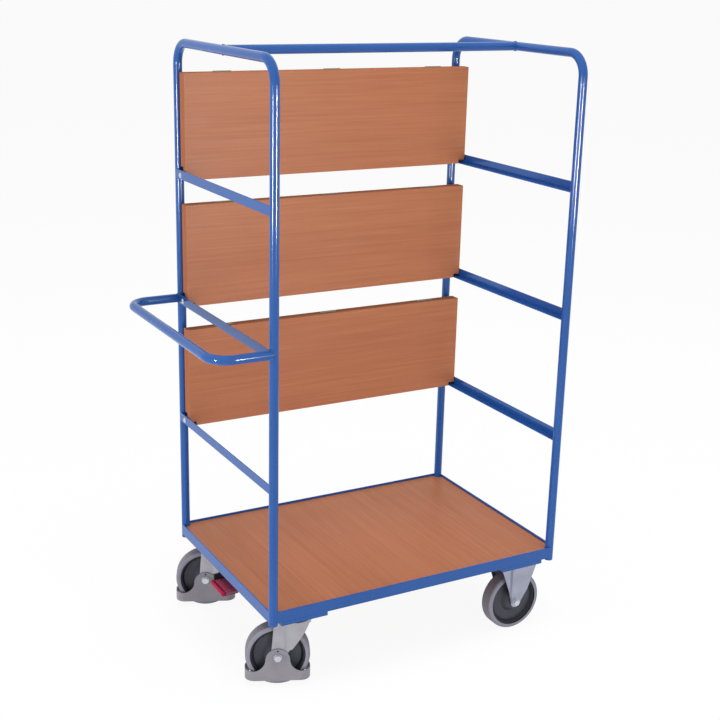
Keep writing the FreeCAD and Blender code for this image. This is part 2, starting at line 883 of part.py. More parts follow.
def fixed_bracket(name, side):
    """A plate with two pressed legs whose edges fold out away from the wheel."""
    half = s.bracket_leg_width / 2
    flat = s.bracket_flat_width / 2
    bend = flat + s.bracket_fold_run
    end = s.bracket_end_diameter / 2
    side_view = prism("xz", s.plate_width * 2, [
        (-end, wheel_radius),
        (0, wheel_radius - end),
        (end, wheel_radius),
        (half, plate_bottom),
        (-half, plate_bottom),
    ], {0: (end, 1), 1: (end, 1)})
    plans = []
    for edge in (-1, 1):
        inside, outside = fork_inside * edge, fork_outside * edge
        inside_fold, outside_fold = inside + s.bracket_fold * edge, outside + s.bracket_fold * edge
        inner_line = [(-half, inside_fold), (-bend, inside_fold), (-flat, inside)]
        inner_line += [(flat, inside), (bend, inside_fold), (half, inside_fold)]
        outer_line = [(half, outside_fold), (bend, outside_fold), (flat, outside)]
        outer_line += [(-flat, outside), (-bend, outside_fold), (-half, outside_fold)]
        plans.append(prism("xy", plate_top * 2, inner_line + outer_line))
    legs = common(fuse(*plans), side_view)
    half_x = s.plate_length / 2
    half_y = s.plate_width / 2
    plate = block((-half_x, -half_y, plate_bottom), (half_x, half_y, plate_top))
    holes = plate_holes(s.plate_hole_diameter / 2, plate_bottom - s.plate_thickness, deck_angle_bottom)
    item = cut(fuse(plate, legs), axle_way(fork_outside), *holes)
    finish(item, f"fixed_bracket_{name}", fixed_x, fixed_y[side])


def fixed_axle_bolts():
    bolts = []
    for side in (-1, 1):
        bolt = axle_bolt(fork_outside)
        bolts.append(put(bolt, fixed_x, fixed_y[side], wheel_radius))
    finish(group(bolts), "fixed_axle_bolts")


# Central brake, built around its cross shaft

shaft_x = kingpin_x - s.brake_setback
shaft_z = plate_top - s.brake_shaft_drop
shaft_radius = s.brake_shaft_diameter / 2


def brake_shaft():
    half = s.brake_shaft_length / 2
    shaft = rod(shaft_radius, -half, half, "y")
    fingers = []
    for side in (-1, 1):
        y = (half - s.brake_shaft_overhang) * side
        low = (0, y - s.brake_finger_width / 2, s.turning_gap * 2)
        high = (s.brake_finger_reach, y + s.brake_finger_width / 2, s.turning_gap * 2 + s.brake_finger_height)
        fingers.append(block(low, high))
    finish(fuse(shaft, *fingers), "brake_shaft", shaft_x, -s.swivel_shift, shaft_z)


def brake_shaft_hangers():
    """Two hangers spaced from the pedal's ends and two spaced from the castors."""
    hangers = []
    half = s.hanger_width / 2
    bore = shaft_radius + s.running_clearance
    inner = s.pedal_width / 2 + s.hanger_inner_spacing
    outer = swivel_half_spacing - s.hanger_outer_spacing
    for spacing in (inner, outer):
        for side in (-1, 1):
            y = spacing * side
            low = (-half, y - s.hanger_thickness / 2, -s.hanger_tail)
            high = (half, y + s.hanger_thickness / 2, s.brake_shaft_drop)
            hole = rod(bore, y - s.hanger_thickness, y + s.hanger_thickness, "y")
            hangers.append(cut(block(low, high), hole))
    finish(group(hangers), "brake_shaft_hangers", shaft_x, 0, shaft_z)


def pedal_arms():
    """A lever plate beside the far end of the pedal and a strut under its near end."""
    rise = s.pedal_arm_rise
    thickness = s.pedal_arm_thickness
    boss = shaft_radius * 2
    foot = s.pedal_drop + s.pedal_thickness / 2
    front = s.pedal_reach - s.pedal_lip_diameter / 2 - s.turning_gap
    rear = s.pedal_reach - s.pedal_length
    lever = prism("xz", thickness, [
        (boss, rise),
        (-front, rise),
        (-front, -foot),
        (-rear, -foot),
        (boss, -boss),
    ])
    put(lever, 0, (s.pedal_width + thickness) / 2, 0)
    upright = s.turning_gap - rear
    sole = -foot - s.pedal_strut_height
    strut = prism("xz", thickness, [
        (boss, rise),
        (upright, rise),
        (upright, -foot),
        (-front, -foot),
        (-front, sole),
        (upright, sole),
        (boss, -boss),
    ])
    put(strut, 0, (thickness - s.pedal_width) / 2 + s.pedal_strut_inset, 0)
    shaft_way = rod(shaft_radius, -s.pedal_width, s.pedal_width, "y")
    finish(cut(fuse(lever, strut), shaft_way), "brake_pedal_arms", shaft_x, 0, shaft_z)


def brake_pedal():
    """A studded tread with a rolled front lip and round front corners."""
    half = s.pedal_width / 2
    lip = s.pedal_lip_diameter / 2
    low = -s.pedal_drop - s.pedal_thickness / 2
    high = low + s.pedal_thickness
    front = -s.pedal_reach - lip
    back = s.pedal_length - s.pedal_reach
    pieces = [block((-s.pedal_reach, -half, low), (back, half, high))]
    pieces.append(rod(lip, -half, half, "y", (-s.pedal_reach, -s.pedal_drop)))
    row_pitch = s.pedal_stud_width + s.pedal_stud_gap
    stud_pitch = s.pedal_stud_length + s.pedal_stud_gap
    row_count = int((s.pedal_length.value - lip.value) / row_pitch.value)
    stud_count = int((s.pedal_width.value + s.pedal_stud_gap.value) / stud_pitch.value)
    first_y = (stud_pitch * stud_count - s.pedal_stud_gap) / -2
    for row in range(row_count):
        x = lip + s.pedal_stud_gap - s.pedal_reach + row_pitch * row
        for stud in range(stud_count):
            y = first_y + stud_pitch * stud
            stud_end = (x + s.pedal_stud_width, y + s.pedal_stud_length, high + s.pedal_stud_height)
            pieces.append(block((x, y, high), stud_end))
    corner = s.pedal_corner_radius
    plan = prism("xy", s.pedal_drop * 4, [
        (back, -half),
        (back, half),
        (front + corner, half),
        (front, half - corner),
        (front, corner - half),
        (front + corner, -half),
    ], {2: (corner, 1), 4: (corner, 1)})
    finish(common(fuse(*pieces), plan), "brake_pedal", shaft_x, 0, shaft_z)


# Folding shelves, built around their pivot line and standing folded at the rear

panel_half = outer_x - s.rail_wall - s.panel_end_gap
notch_x = outer_x - s.rail_leg - s.notch_clearance
half_thickness = s.panel_thickness / 2
fold_plane = -half_thickness - s.fold_gap / 2
hinge_z = s.panel_reach + s.hinge_rise
barrel_radius = s.hinge_barrel_diameter / 2
hinge_columns = [s.hinge_spacing * place for place in (-1, 0, 1)]


def panel_body(label, heel, notch_top):
    """A board with both lower corners notched, standing on the XZ plane."""
    body = new_body(label)
    section = body_sketch(body, "XZ_Plane")
    trace(section, [
        (-notch_x, -heel),
        (notch_x, -heel),
        (notch_x, notch_top),
        (panel_half, notch_top),
        (panel_half, s.panel_reach),
        (-panel_half, s.panel_reach),
        (-panel_half, notch_top),
        (-notch_x, notch_top),
    ])
    soften(body, pad(body, section, s.panel_thickness), s.panel_round)
    return body


def hinge_seats(inward):
    """Recesses for the leaves and barrels of the hinges in the folding face."""
    face = fold_plane + s.fold_gap / 2 * inward
    half = s.hinge_length / 2 + s.hinge_gap
    leaf_bottom = hinge_z - barrel_radius - s.hinge_leaf_width - s.hinge_gap
    seats = []
    for x in hinge_columns:
        for depth, bottom in (
            (s.hinge_leaf_thickness, leaf_bottom),
            (barrel_radius + s.hinge_gap, hinge_z - barrel_radius - s.hinge_gap),
        ):
            low, high = in_order(face - depth * inward, face + depth * inward)
            seats.append(block((x - half, low, bottom), (x + half, high, hinge_z)))
    return seats


def hinge_leaf(x, inward, tabs):
    """A leaf plate with its tabs rolled into barrels round the hinge pin."""
    face = fold_plane + s.fold_gap / 2 * inward
    low, high = in_order(face, face + s.hinge_leaf_thickness * inward)
    half = s.hinge_length / 2
    plate_high = hinge_z - barrel_radius - s.hinge_gap
    plate_low = plate_high - s.hinge_leaf_width + s.hinge_gap
    pieces = [block((x - half, low, plate_low), (x + half, high, plate_high))]
    for start, stop in tabs:
        pieces.append(block((x + start, low, plate_low), (x + stop, high, hinge_z)))
        pieces.append(rod(barrel_radius, x + start, x + stop, "x", (fold_plane, hinge_z)))
    bore = s.hinge_pin_diameter / 2 + s.running_clearance
    return cut(fuse(*pieces), rod(bore, x - half, x + half, "x", (fold_plane, hinge_z)))


def hinge_pin(x):
    half = s.hinge_length / 2
    return rod(s.hinge_pin_diameter / 2, x - half, x + half, "x", (fold_plane, hinge_z))


def folding_shelf(name, top):
    pivot_z = top - s.rail_leg + pivot_above_rail_bottom
    bore = s.pivot_bolt_diameter / 2 + s.running_clearance
    deep = notch_x - s.pivot_bolt_depth - s.side_play
    bores = [rod(bore, deep, panel_half, "x"), rod(bore, -panel_half, -deep, "x")]
    rear = panel_body(f"{name}_rear_board", s.panel_heel, s.heel_notch_height)
    finish(cut(rear, *bores, *hinge_seats(1)), f"{name}_shelf_rear_panel", 0, pivot_y, pivot_z)

    front = panel_body(f"{name}_front_board", s.panel_toe, as_size(0))
    front_y = -s.panel_thickness - s.fold_gap
    put(front, 0, front_y, 0)
    finish(cut(front, *hinge_seats(-1)), f"{name}_shelf_front_panel", 0, pivot_y, pivot_z)

    half = s.hinge_length / 2
    tab = s.hinge_tab_length
    end_tabs = [(-half, tab - half), (half - tab, half)]
    mid_tab = [(tab + s.hinge_gap - half, half - tab - s.hinge_gap)]
    rear_leaves = [hinge_leaf(x, 1, end_tabs) for x in hinge_columns]
    rear_leaves += [hinge_pin(x) for x in hinge_columns]
    finish(group(rear_leaves), f"{name}_shelf_hinge_leaves_rear", 0, pivot_y, pivot_z)
    front_leaves = [hinge_leaf(x, -1, mid_tab) for x in hinge_columns]
    finish(group(front_leaves), f"{name}_shelf_hinge_leaves_front", 0, pivot_y, pivot_z)


def pivot_fittings():
    """Pivot bolts with domed heads on the rails and the bushes that space the panels off the rails."""
    bolts = []
    bushes = []
    inner_face = outer_x - s.rail_wall
    rise = s.pivot_head_height
    dome_radius = (s.pivot_head_diameter * s.pivot_head_diameter / rise / 4 + rise) / 2
    dome_x = outer_x + rise - dome_radius
    for top in rail_tops:
        across = (pivot_y, top - s.rail_leg + pivot_above_rail_bottom)
        for side in (-1, 1):
            low, high = in_order((notch_x - s.pivot_bolt_depth) * side, outer_x * side)
            shank = rod(s.pivot_bolt_diameter / 2, low, high, "x", across)
            low, high = in_order(outer_x * side, (outer_x + rise + s.cut_margin) * side)
            outside = rod(s.pivot_head_diameter, low, high, "x", across)
            bolts.append(fuse(shank, common(ball(dome_radius, dome_x * side, *across), outside)))
            low, high = in_order((notch_x + s.side_play) * side, inner_face * side)
            bush = rod(s.pivot_bush_diameter / 2, low, high, "x", across)
            bore = rod(s.pivot_bolt_diameter / 2, low - s.cut_margin, high + s.cut_margin, "x", across)
            bushes.append(cut(bush, bore))
    finish(group(bolts), "shelf_pivot_bolts")
    finish(group(bushes), "shelf_pivot_bushes")


# Assembly

end_frame("left_end_frame", -1)
end_frame("right_end_frame", 1)
top_tie_tube()
push_handle()
for level, rail_top in zip(level_names, rail_tops):
    shelf_rail(f"rail_left_{level}", -1, rail_top)
    shelf_rail(f"rail_right_{level}", 1, rail_top)
    folding_shelf(level, rail_top)
pivot_fittings()
for row_name, row_side in castor_rows:
    long_deck_angle(f"deck_angle_{row_name}", row_side)
cross_deck_angle("deck_angle_left", -1)
cross_deck_angle("deck_angle_right", 1)
deck_board()
castor_carrier("castor_carrier_left", kingpin_x, swivel_y)
castor_carrier("castor_carrier_right", fixed_x, fixed_y)
castor_plate_bolts()
kingpins()
fixed_axle_bolts()
for row_name, row_side in castor_rows:
    swivel_plate(row_name, row_side)
    fork(row_name, row_side)
    foot_guard(row_name, row_side)
    swivel_axle(row_name, row_side)
    wheel_set(f"swivel_{row_name}", kingpin_x, swivel_y[row_side], s.swivel_offset)
    fixed_bracket(row_name, row_side)
    wheel_set(f"fixed_{row_name}", fixed_x, fixed_y[row_side], as_size(0))
brake_shaft()
brake_shaft_hangers()
pedal_arms()
brake_pedal()
document.recompute()

failed = [item.Label for item in document.Objects if {"Invalid", "Error"} & set(item.State)]
failed += [item.Label for item in nodes if item.Shape.isNull() or not item.Shape.isValid()]
if failed:
    raise RuntimeError("failed: " + ", ".join(failed))

os.makedirs("parts", exist_ok=True)
for item in nodes:
    item.Shape.exportStep(f"parts/{item.Label}.step")
print(len(nodes), "pieces written")
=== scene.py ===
import json
import math

import bmesh
import bpy
import numpy as np
from mathutils import Matrix, Vector

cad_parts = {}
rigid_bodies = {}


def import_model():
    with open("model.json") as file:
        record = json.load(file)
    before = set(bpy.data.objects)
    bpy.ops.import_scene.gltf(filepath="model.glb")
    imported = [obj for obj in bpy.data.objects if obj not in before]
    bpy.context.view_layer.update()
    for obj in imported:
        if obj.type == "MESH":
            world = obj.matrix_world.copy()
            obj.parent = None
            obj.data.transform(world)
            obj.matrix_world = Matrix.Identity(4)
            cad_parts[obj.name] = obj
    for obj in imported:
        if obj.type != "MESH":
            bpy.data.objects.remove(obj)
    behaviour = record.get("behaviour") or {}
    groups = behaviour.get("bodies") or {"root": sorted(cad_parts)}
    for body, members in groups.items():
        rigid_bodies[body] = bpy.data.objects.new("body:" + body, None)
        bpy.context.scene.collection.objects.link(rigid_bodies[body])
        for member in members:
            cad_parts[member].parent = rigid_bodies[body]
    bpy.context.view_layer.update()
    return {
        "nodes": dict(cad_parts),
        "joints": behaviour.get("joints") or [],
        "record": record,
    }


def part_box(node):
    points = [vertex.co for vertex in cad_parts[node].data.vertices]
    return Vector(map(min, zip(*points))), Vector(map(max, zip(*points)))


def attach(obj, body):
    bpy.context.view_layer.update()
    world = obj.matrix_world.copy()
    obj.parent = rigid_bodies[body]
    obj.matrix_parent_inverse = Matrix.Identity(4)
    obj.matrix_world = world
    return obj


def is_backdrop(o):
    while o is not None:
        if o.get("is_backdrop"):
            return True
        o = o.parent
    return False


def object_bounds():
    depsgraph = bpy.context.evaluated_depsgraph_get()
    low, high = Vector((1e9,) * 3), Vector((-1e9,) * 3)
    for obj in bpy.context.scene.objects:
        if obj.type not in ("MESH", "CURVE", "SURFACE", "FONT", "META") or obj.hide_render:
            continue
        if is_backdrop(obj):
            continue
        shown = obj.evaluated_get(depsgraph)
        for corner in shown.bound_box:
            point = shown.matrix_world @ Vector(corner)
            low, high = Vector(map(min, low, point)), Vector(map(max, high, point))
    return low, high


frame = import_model()
nodes = frame["nodes"]
slotOf = {part["node"]: part["material_slot"] for part in frame["record"]["subparts"]}
jointOf = {joint["name"]: joint for joint in frame["joints"]}
levels = ("lower", "middle", "upper")


# Colours and node helpers


def tone(red, green, blue):  # screen colour from 0 to 255, as the linear colour of a socket
    part = np.array([red, green, blue]) / 255
    linear = np.where(part <= 0.04045, part / 12.92, ((part + 0.055) / 1.055) ** 2.4)
    return (*linear.tolist(), 1.0)


def newFinish(name, **sockets):  # material with these sockets set, and functions that add nodes
    material = bpy.data.materials.new(name)
    material.use_nodes = True
    tree = material.node_tree
    shader = tree.nodes["Principled BSDF"]

    def fill(node, values):
        for key, value in values.items():
            if isinstance(value, bpy.types.NodeSocket):
                tree.links.new(value, node.inputs[key])
            else:
                node.inputs[key].default_value = value

    def add(kind, values=None, **settings):
        node = tree.nodes.new("ShaderNode" + kind)
        for key, value in settings.items():
            setattr(node, key, value)
        fill(node, values or {})
        return node

    def shade(**values):
        fill(shader, {key.replace("_", " "): value for key, value in values.items()})

    shade(**sockets)
    return material, add, shade


def mixTones(add, share, first, second):  # first where share is 0, second where it is 1
    return add("Mix", {0: share, 6: first, 7: second}, data_type="RGBA").outputs[2]


def spread(add, value, low, high, start=0.0, stop=1.0):  # value from low to high becomes start to stop
    values = {"Value": value, "From Min": low, "From Max": high, "To Min": start, "To Max": stop}
    return add("MapRange", values).outputs["Result"]


def cloud(add, place, size, detail=2.0, rough=0.5):  # noise with one feature size per axis, in metres
    sizes = size if isinstance(size, tuple) else (size,) * 3
    stretched = add("Mapping", {"Vector": place, "Scale": [1 / side for side in sizes]})
    values = {"Vector": stretched.outputs[0], "Scale": 1.0, "Detail": detail, "Roughness": rough}
    return add("TexNoise", values).outputs["Fac"]


def relief(add, height, depth):  # bump of this depth in metres
    return add("Bump", {"Height": height, "Distance": depth}).outputs["Normal"]


# Finishes: in each dictionary a span gives the noise from and to, and the share from and to

noiseSpan = (0.3, 0.7)  # where most values of a noise lie

powderCoat = {
    "deep": (26, 74, 140),
    "pale": (31, 80, 148),
    "speck": (52, 100, 172),
    "speckSize": 0.0014,
    "speckSpan": (0.5, 0.7, 0.0, 0.05),
    "patch": 0.4,  # size of slow changes of tone
    "glossPatch": 0.084,  # size of slow changes of gloss
    "peel": 0.0028,  # size of the orange peel
    "peelDepth": 0.000012,
    "roughness": (0.10, 0.14),
    "specular": 0.36,
}


def powderCoatFinish():
    look = powderCoat
    material, add, shade = newFinish("blue powder coat", Specular_IOR_Level=look["specular"])
    place = add("TexCoord").outputs["Object"]
    patches = spread(add, cloud(add, place, look["patch"], 3), *noiseSpan)
    specks = spread(add, cloud(add, place, look["speckSize"], 1), *look["speckSpan"])
    colour = mixTones(add, patches, tone(*look["deep"]), tone(*look["pale"]))
    colour = mixTones(add, specks, colour, tone(*look["speck"]))
    gloss = spread(add, cloud(add, place, look["glossPatch"], 3), *noiseSpan, *look["roughness"])
    peel = relief(add, cloud(add, place, look["peel"], 1), look["peelDepth"])
    shade(Base_Color=colour, Roughness=gloss, Normal=peel)
    return material


beech = {
    "deep": (167, 103, 72),
    "pale": (174, 110, 77),
    "light": (181, 118, 86),
    "dark": (155, 92, 63),
    "fleck": (142, 84, 58),
    "edge": (148, 92, 64),
    "specular": 0.12,
    "band": (2.4, 0.11),  # length along the grain and width across it
    "streak": (0.42, 0.008),
    "line": (0.15, 0.0022),
    "pore": (0.008, 0.0009),
    "poreDepth": 0.00003,
    "grainRough": 0.55,  # how much the fine noise counts
    "darkStreakSpan": (0.52, 0.74, 0.0, 0.6),
    "lightStreakSpan": (0.48, 0.28, 0.0, 0.6),
    "lineSpan": (0.54, 0.76, 0.0, 0.4),
    "fleckSpan": (0.62, 0.74, 0.0, 0.35),
    "edgeFacing": (0.75, 0.6),  # the normal along the thickness, on a broad face and on an edge
    "sheen": (0.3, 0.03),
    "roughness": (0.38, 0.46),
    "edgeRoughness": 0.9,
}


def beechFinish(name, grain):  # laminate with straight beech grain along x or y
    look = beech
    material, add, shade = newFinish(name, Specular_IOR_Level=look["specular"])
    source = add("TexCoord")
    along = "xyz".index(grain)

    def grainCloud(size, detail):
        sizes = [size[1]] * 3
        sizes[along] = size[0]
        return cloud(add, source.outputs["Object"], tuple(sizes), detail, look["grainRough"])

    bands = spread(add, grainCloud(look["band"], 3), *noiseSpan)
    streaks = grainCloud(look["streak"], 3)
    lines = grainCloud(look["line"], 2)
    pores = grainCloud(look["pore"], 1)
    colour = mixTones(add, bands, tone(*look["deep"]), tone(*look["pale"]))
    colour = mixTones(add, spread(add, streaks, *look["darkStreakSpan"]), colour, tone(*look["dark"]))
    colour = mixTones(add, spread(add, streaks, *look["lightStreakSpan"]), colour, tone(*look["light"]))
    colour = mixTones(add, spread(add, lines, *look["lineSpan"]), colour, tone(*look["dark"]))
    colour = mixTones(add, spread(add, pores, *look["fleckSpan"]), colour, tone(*look["fleck"]))
    facing = add("VectorMath", {0: source.outputs["Normal"]}, operation="ABSOLUTE").outputs[0]
    thickness = "Z" if grain == "y" else "Y"  # the deck lies flat and the panels stand
    broad = add("SeparateXYZ", {0: facing}).outputs[thickness]  # near 1 on the broad faces
    colour = mixTones(add, spread(add, broad, *look["edgeFacing"]), colour, tone(*look["edge"]))
    gloss = spread(add, grainCloud(look["sheen"], 3), *noiseSpan, *look["roughness"])
    dull = spread(add, broad, *look["edgeFacing"], 0.0, look["edgeRoughness"])  # sawn edges shine less
    gloss = add("Math", {0: gloss, 1: dull}, operation="MAXIMUM").outputs[0]
    shade(Base_Color=colour, Roughness=gloss, Normal=relief(add, pores, look["poreDepth"]))
    return material


zincPlate = {
    "deep": (162, 160, 167),
    "pale": (177, 175, 182),
    "bloom": 0.03,  # size of cloudy patches in the plating
    "brush": (0.09, 0.0011),  # length and width of the fine vertical lines
    "brushDepth": 0.000008,
    "brushShare": 0.3,  # of the change in tone, the rest being bloom
    "metal": 0.85,
    "roughness": (0.36, 0.46),
}


def zincFinish(name, look):
    material, add, shade = newFinish(name, Metallic=look["metal"])
    place = add("TexCoord").outputs["Object"]
    length, width = look["brush"]
    lines = cloud(add, place, (width, width, length), 2)
    brushed = spread(add, lines, *noiseSpan, 0.0, look["brushShare"])
    bloom = spread(add, cloud(add, place, look["bloom"], 4), *noiseSpan, 0.0, 1 - look["brushShare"])
    level = add("Math", {0: bloom, 1: brushed}, operation="ADD").outputs[0]
    colour = mixTones(add, level, tone(*look["deep"]), tone(*look["pale"]))
    gloss = spread(add, lines, *noiseSpan, *look["roughness"])
    shade(Base_Color=colour, Roughness=gloss, Normal=relief(add, lines, look["brushDepth"]))
    return material


brightZinc = dict(zincPlate, deep=(186, 189, 200), pale=(212, 214, 222),
                  roughness=(0.2, 0.28), metal=1.0)
# painted reflection: the fixed brackets' zinc is tinted blue to stand for the blue deck angle mirrored
# in it
bracketZincBlueReflection = dict(zincPlate, deep=(150, 154, 170), pale=(168, 172, 188))
pinZinc = dict(zincPlate, deep=(44, 45, 50), pale=(60, 61, 66), bloom=0.004)
hingeZinc = dict(zincPlate, deep=(130, 131, 114), pale=(160, 160, 142), bloom=0.006)

guardCoat = {
    "deep": (125, 122, 129),
    "pale": (139, 136, 143),
    "pit": (107, 105, 111),
    "pitSpan": (0.5, 0.7, 0.0, 0.15),
    "bloom": 0.07,
    "grain": 0.0016,
    "grainDepth": 0.00003,
    "metal": 0.2,
    "roughness": (0.42, 0.54),
}


def guardFinish():
    look = guardCoat
    material, add, shade = newFinish("grey guard coat", Metallic=look["metal"])
    place = add("TexCoord").outputs["Object"]
    slow = cloud(add, place, look["bloom"], 4)
    grain = cloud(add, place, look["grain"], 2)
    colour = mixTones(add, spread(add, slow, *noiseSpan), tone(*look["deep"]), tone(*look["pale"]))
    colour = mixTones(add, spread(add, grain, *look["pitSpan"]), colour, tone(*look["pit"]))
    gloss = spread(add, slow, *noiseSpan, *look["roughness"])
    shade(Base_Color=colour, Roughness=gloss, Normal=relief(add, grain, look["grainDepth"]))
    return material


def wheelPlace(add, centre, turn):  # coordinates with the axle along Y, and the distance from it
    place = add("TexCoord").outputs["Object"]
    values = {"Vector": place, "Location": centre, "Rotation": (0.0, 0.0, turn)}
    local = add("Mapping", values, vector_type="TEXTURE").outputs[0]
    flat = add("VectorMath", {0: local, 1: (1.0, 0.0, 1.0)}, operation="MULTIPLY").outputs[0]
    radius = add("VectorMath", {0: flat}, operation="LENGTH").outputs["Value"]
    return local, radius


rubber = {
    "wall": (125, 123, 136),
    "dust": (150, 148, 160),
    "tread": (112, 107, 116),
    # painted shade: a dark band where the tyre meets the rim, for the shade in that crease
    "seat": (58, 57, 64),
    "treadRadius": (0.0950, 0.0998),
    "seatRadius": (0.0862, 0.0851),
    "dustSpan": (0.35, 0.65, 0.0, 0.25),
    "dustRough": 0.6,
    "bloom": 0.03,
    "grain": 0.0015,
    "grainDepth": 0.00005,
    "specular": 0.35,
    "roughness": (0.5, 0.66),
}


def tyreFinish(name, centre, turn):
    look = rubber
    material, add, shade = newFinish(name, Specular_IOR_Level=look["specular"])
    local, radius = wheelPlace(add, centre, turn)
    dust = cloud(add, local, look["bloom"], 4, look["dustRough"])
    grain = cloud(add, local, look["grain"], 2)
    dusty = spread(add, dust, *look["dustSpan"])
    colour = mixTones(add, dusty, tone(*look["wall"]), tone(*look["dust"]))
    colour = mixTones(add, spread(add, radius, *look["treadRadius"]), colour, tone(*look["tread"]))
    # painted shade in the crease where the tyre meets the rim
    colour = mixTones(add, spread(add, radius, *look["seatRadius"]), colour, tone(*look["seat"]))
    gloss = spread(add, dust, *noiseSpan, *look["roughness"])
    shade(Base_Color=colour, Roughness=gloss, Normal=relief(add, grain, look["grainDepth"]))
    return material


nylon = {
    "deep": (54, 54, 63),
    "pale": (67, 67, 77),
    "rimEdge": (36, 37, 44),
    "specular": 0.3,
    "edgeRadius": (0.071, 0.076),
    "ring": 0.003,  # width of the moulded rings
    "ringSpan": (0.75, 1.25),  # of two noises added
    "bloom": 0.04,
    "grain": 0.0009,
    "grainDepth": 0.00004,
    "roughness": (0.36, 0.48),
}


def rimFinish(name, centre, turn):
    look = nylon
    material, add, shade = newFinish(name, Specular_IOR_Level=look["specular"])
    local, radius = wheelPlace(add, centre, turn)
    values = {"W": radius, "Scale": 1 / look["ring"], "Detail": 2.0}
    lines = add("TexNoise", values, noise_dimensions="1D")
    slow = cloud(add, local, look["bloom"], 3)
    level = add("Math", {0: lines.outputs["Fac"], 1: slow}, operation="ADD").outputs[0]
    rings = spread(add, level, *look["ringSpan"])
    colour = mixTones(add, rings, tone(*look["deep"]), tone(*look["pale"]))
    colour = mixTones(add, spread(add, radius, *look["edgeRadius"]), colour, tone(*look["rimEdge"]))
    gloss = spread(add, slow, *noiseSpan, *look["roughness"])
    grain = cloud(add, local, look["grain"], 2)
    shade(Base_Color=colour, Roughness=gloss, Normal=relief(add, grain, look["grainDepth"]))
    return material


pedalPlastic = {
    "lip": (150, 0, 54),
    # the tread's stud and groove tones are paler than the lip's: painted light making up for the shade
    # that the deck's edge casts on the pedal's top
    "stud": (210, 84, 116),
    "groove": (156, 96, 110),
    "scuff": (118, 28, 54),
    "scuffSpan": (0.45, 0.65, 0.0, 0.2),
    "specular": 0.25,
    "lipDepth": 0.0155,  # from the pedal's front
    "studDrop": (0.0033, 0.0019),  # from the pedal's top down to the grooves and to the studs
    "blend": 0.001,
    "grain": 0.0014,
    "grainDepth": 0.00005,
    "bloom": 0.012,
    "roughness": (0.34, 0.46),
}


def pedalFinish():
    look = pedalPlastic
    material, add, shade = newFinish("red pedal plastic", Specular_IOR_Level=look["specular"])
    low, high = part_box("brake_pedal")
    place = add("TexCoord").outputs["Object"]
    sides = add("SeparateXYZ", {0: place})
    grain = cloud(add, place, look["grain"], 2)
    groove, stud = (high.z - drop for drop in look["studDrop"])
    lipEnd = low.x + look["lipDepth"]
    raised = spread(add, sides.outputs["Z"], groove, stud)
    behindLip = spread(add, sides.outputs["X"], lipEnd, lipEnd + look["blend"])
    # painted light: the tread is paler than the lip to make up for the deck edge's shade
    tread = mixTones(add, raised, tone(*look["groove"]), tone(*look["stud"]))
    colour = mixTones(add, behindLip, tone(*look["lip"]), tread)
    colour = mixTones(add, spread(add, grain, *look["scuffSpan"]), colour, tone(*look["scuff"]))
    gloss = spread(add, cloud(add, place, look["bloom"], 3), *noiseSpan, *look["roughness"])
    shade(Base_Color=colour, Roughness=gloss, Normal=relief(add, grain, look["grainDepth"]))
    return material


armPaint = {
    "deep": (28, 30, 32),
    "pale": (40, 42, 45),
    "strut": (120, 14, 40),  # the strut at the pedal's near end is moulded in the pedal's colour
    "strutShare": 0.5,  # of the arms' width
    "blend": 0.001,
    "bloom": 0.02,
    "grain": 0.0014,
    "grainDepth": 0.00004,
    "roughness": (0.36, 0.5),
}


def armFinish():
    look = armPaint
    material, add, shade = newFinish("black arm paint")
    place = add("TexCoord").outputs["Object"]
    grain = cloud(add, place, look["grain"], 2)
    slow = spread(add, cloud(add, place, look["bloom"], 3), *noiseSpan)
    colour = mixTones(add, slow, tone(*look["deep"]), tone(*look["pale"]))
    low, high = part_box("brake_pedal_arms")
    strutEnd = low.y + (high.y - low.y) * look["strutShare"]
    depth = add("SeparateXYZ", {0: place}).outputs["Y"]
    nearEnd = spread(add, depth, strutEnd, strutEnd - look["blend"])
    colour = mixTones(add, nearEnd, colour, tone(*look["strut"]))
    gloss = spread(add, grain, *noiseSpan, *look["roughness"])
    shade(Base_Color=colour, Roughness=gloss, Normal=relief(add, grain, look["grainDepth"]))
    return material


finishes = {
    "blue_paint": powderCoatFinish(),
    "zinc": zincFinish("zinc plate", zincPlate),
    "guard_grey": guardFinish(),
    "pedal_red": pedalFinish(),
    "arm_black": armFinish(),
}
panelBeech = beechFinish("beech panel", "x")
deckBeech = beechFinish("beech deck", "y")
boltZinc = zincFinish("bright bolt zinc", brightZinc)
# the fixed brackets' zinc carries a painted blue reflection
braceZincBlueReflection = zincFinish("fixed bracket zinc", bracketZincBlueReflection)
darkZinc = zincFinish("dark pin zinc", pinZinc)
leafZinc = zincFinish("hinge zinc", hingeZinc)


def setFinish(piece, material):
    piece.data.materials.clear()
    piece.data.materials.append(material)


for name, piece in nodes.items():
    if slotOf[name] == "board":
        setFinish(piece, deckBeech if name == "deck_board" else panelBeech)
    elif "bolts" in name or "axle" in name or name == "kingpins":
        setFinish(piece, boltZinc)
    elif "hinge" in name:
        setFinish(piece, leafZinc)
    elif "bracket" in name:
        setFinish(piece, braceZincBlueReflection)
    elif slotOf[name] in finishes:
        setFinish(piece, finishes[slotOf[name]])

for castor in ("swivel_front", "swivel_rear", "fixed_front", "fixed_rear"):
    roll = jointOf[castor + "_roll"]
    axle = Vector(roll["axis"])
    centre = tuple(roll["pos_m"])
    turn = -math.atan2(axle.x, axle.y)
    setFinish(nodes[castor + "_wheel_tyre"], tyreFinish(castor + " tyre rubber", centre, turn))
    setFinish(nodes[castor + "_wheel_rim"], rimFinish(castor + " rim nylon", centre, turn))
print("finishes:", len(bpy.data.materials))


# Surfaces

poleGap = 1e-7  # metres; points closer than this are one point


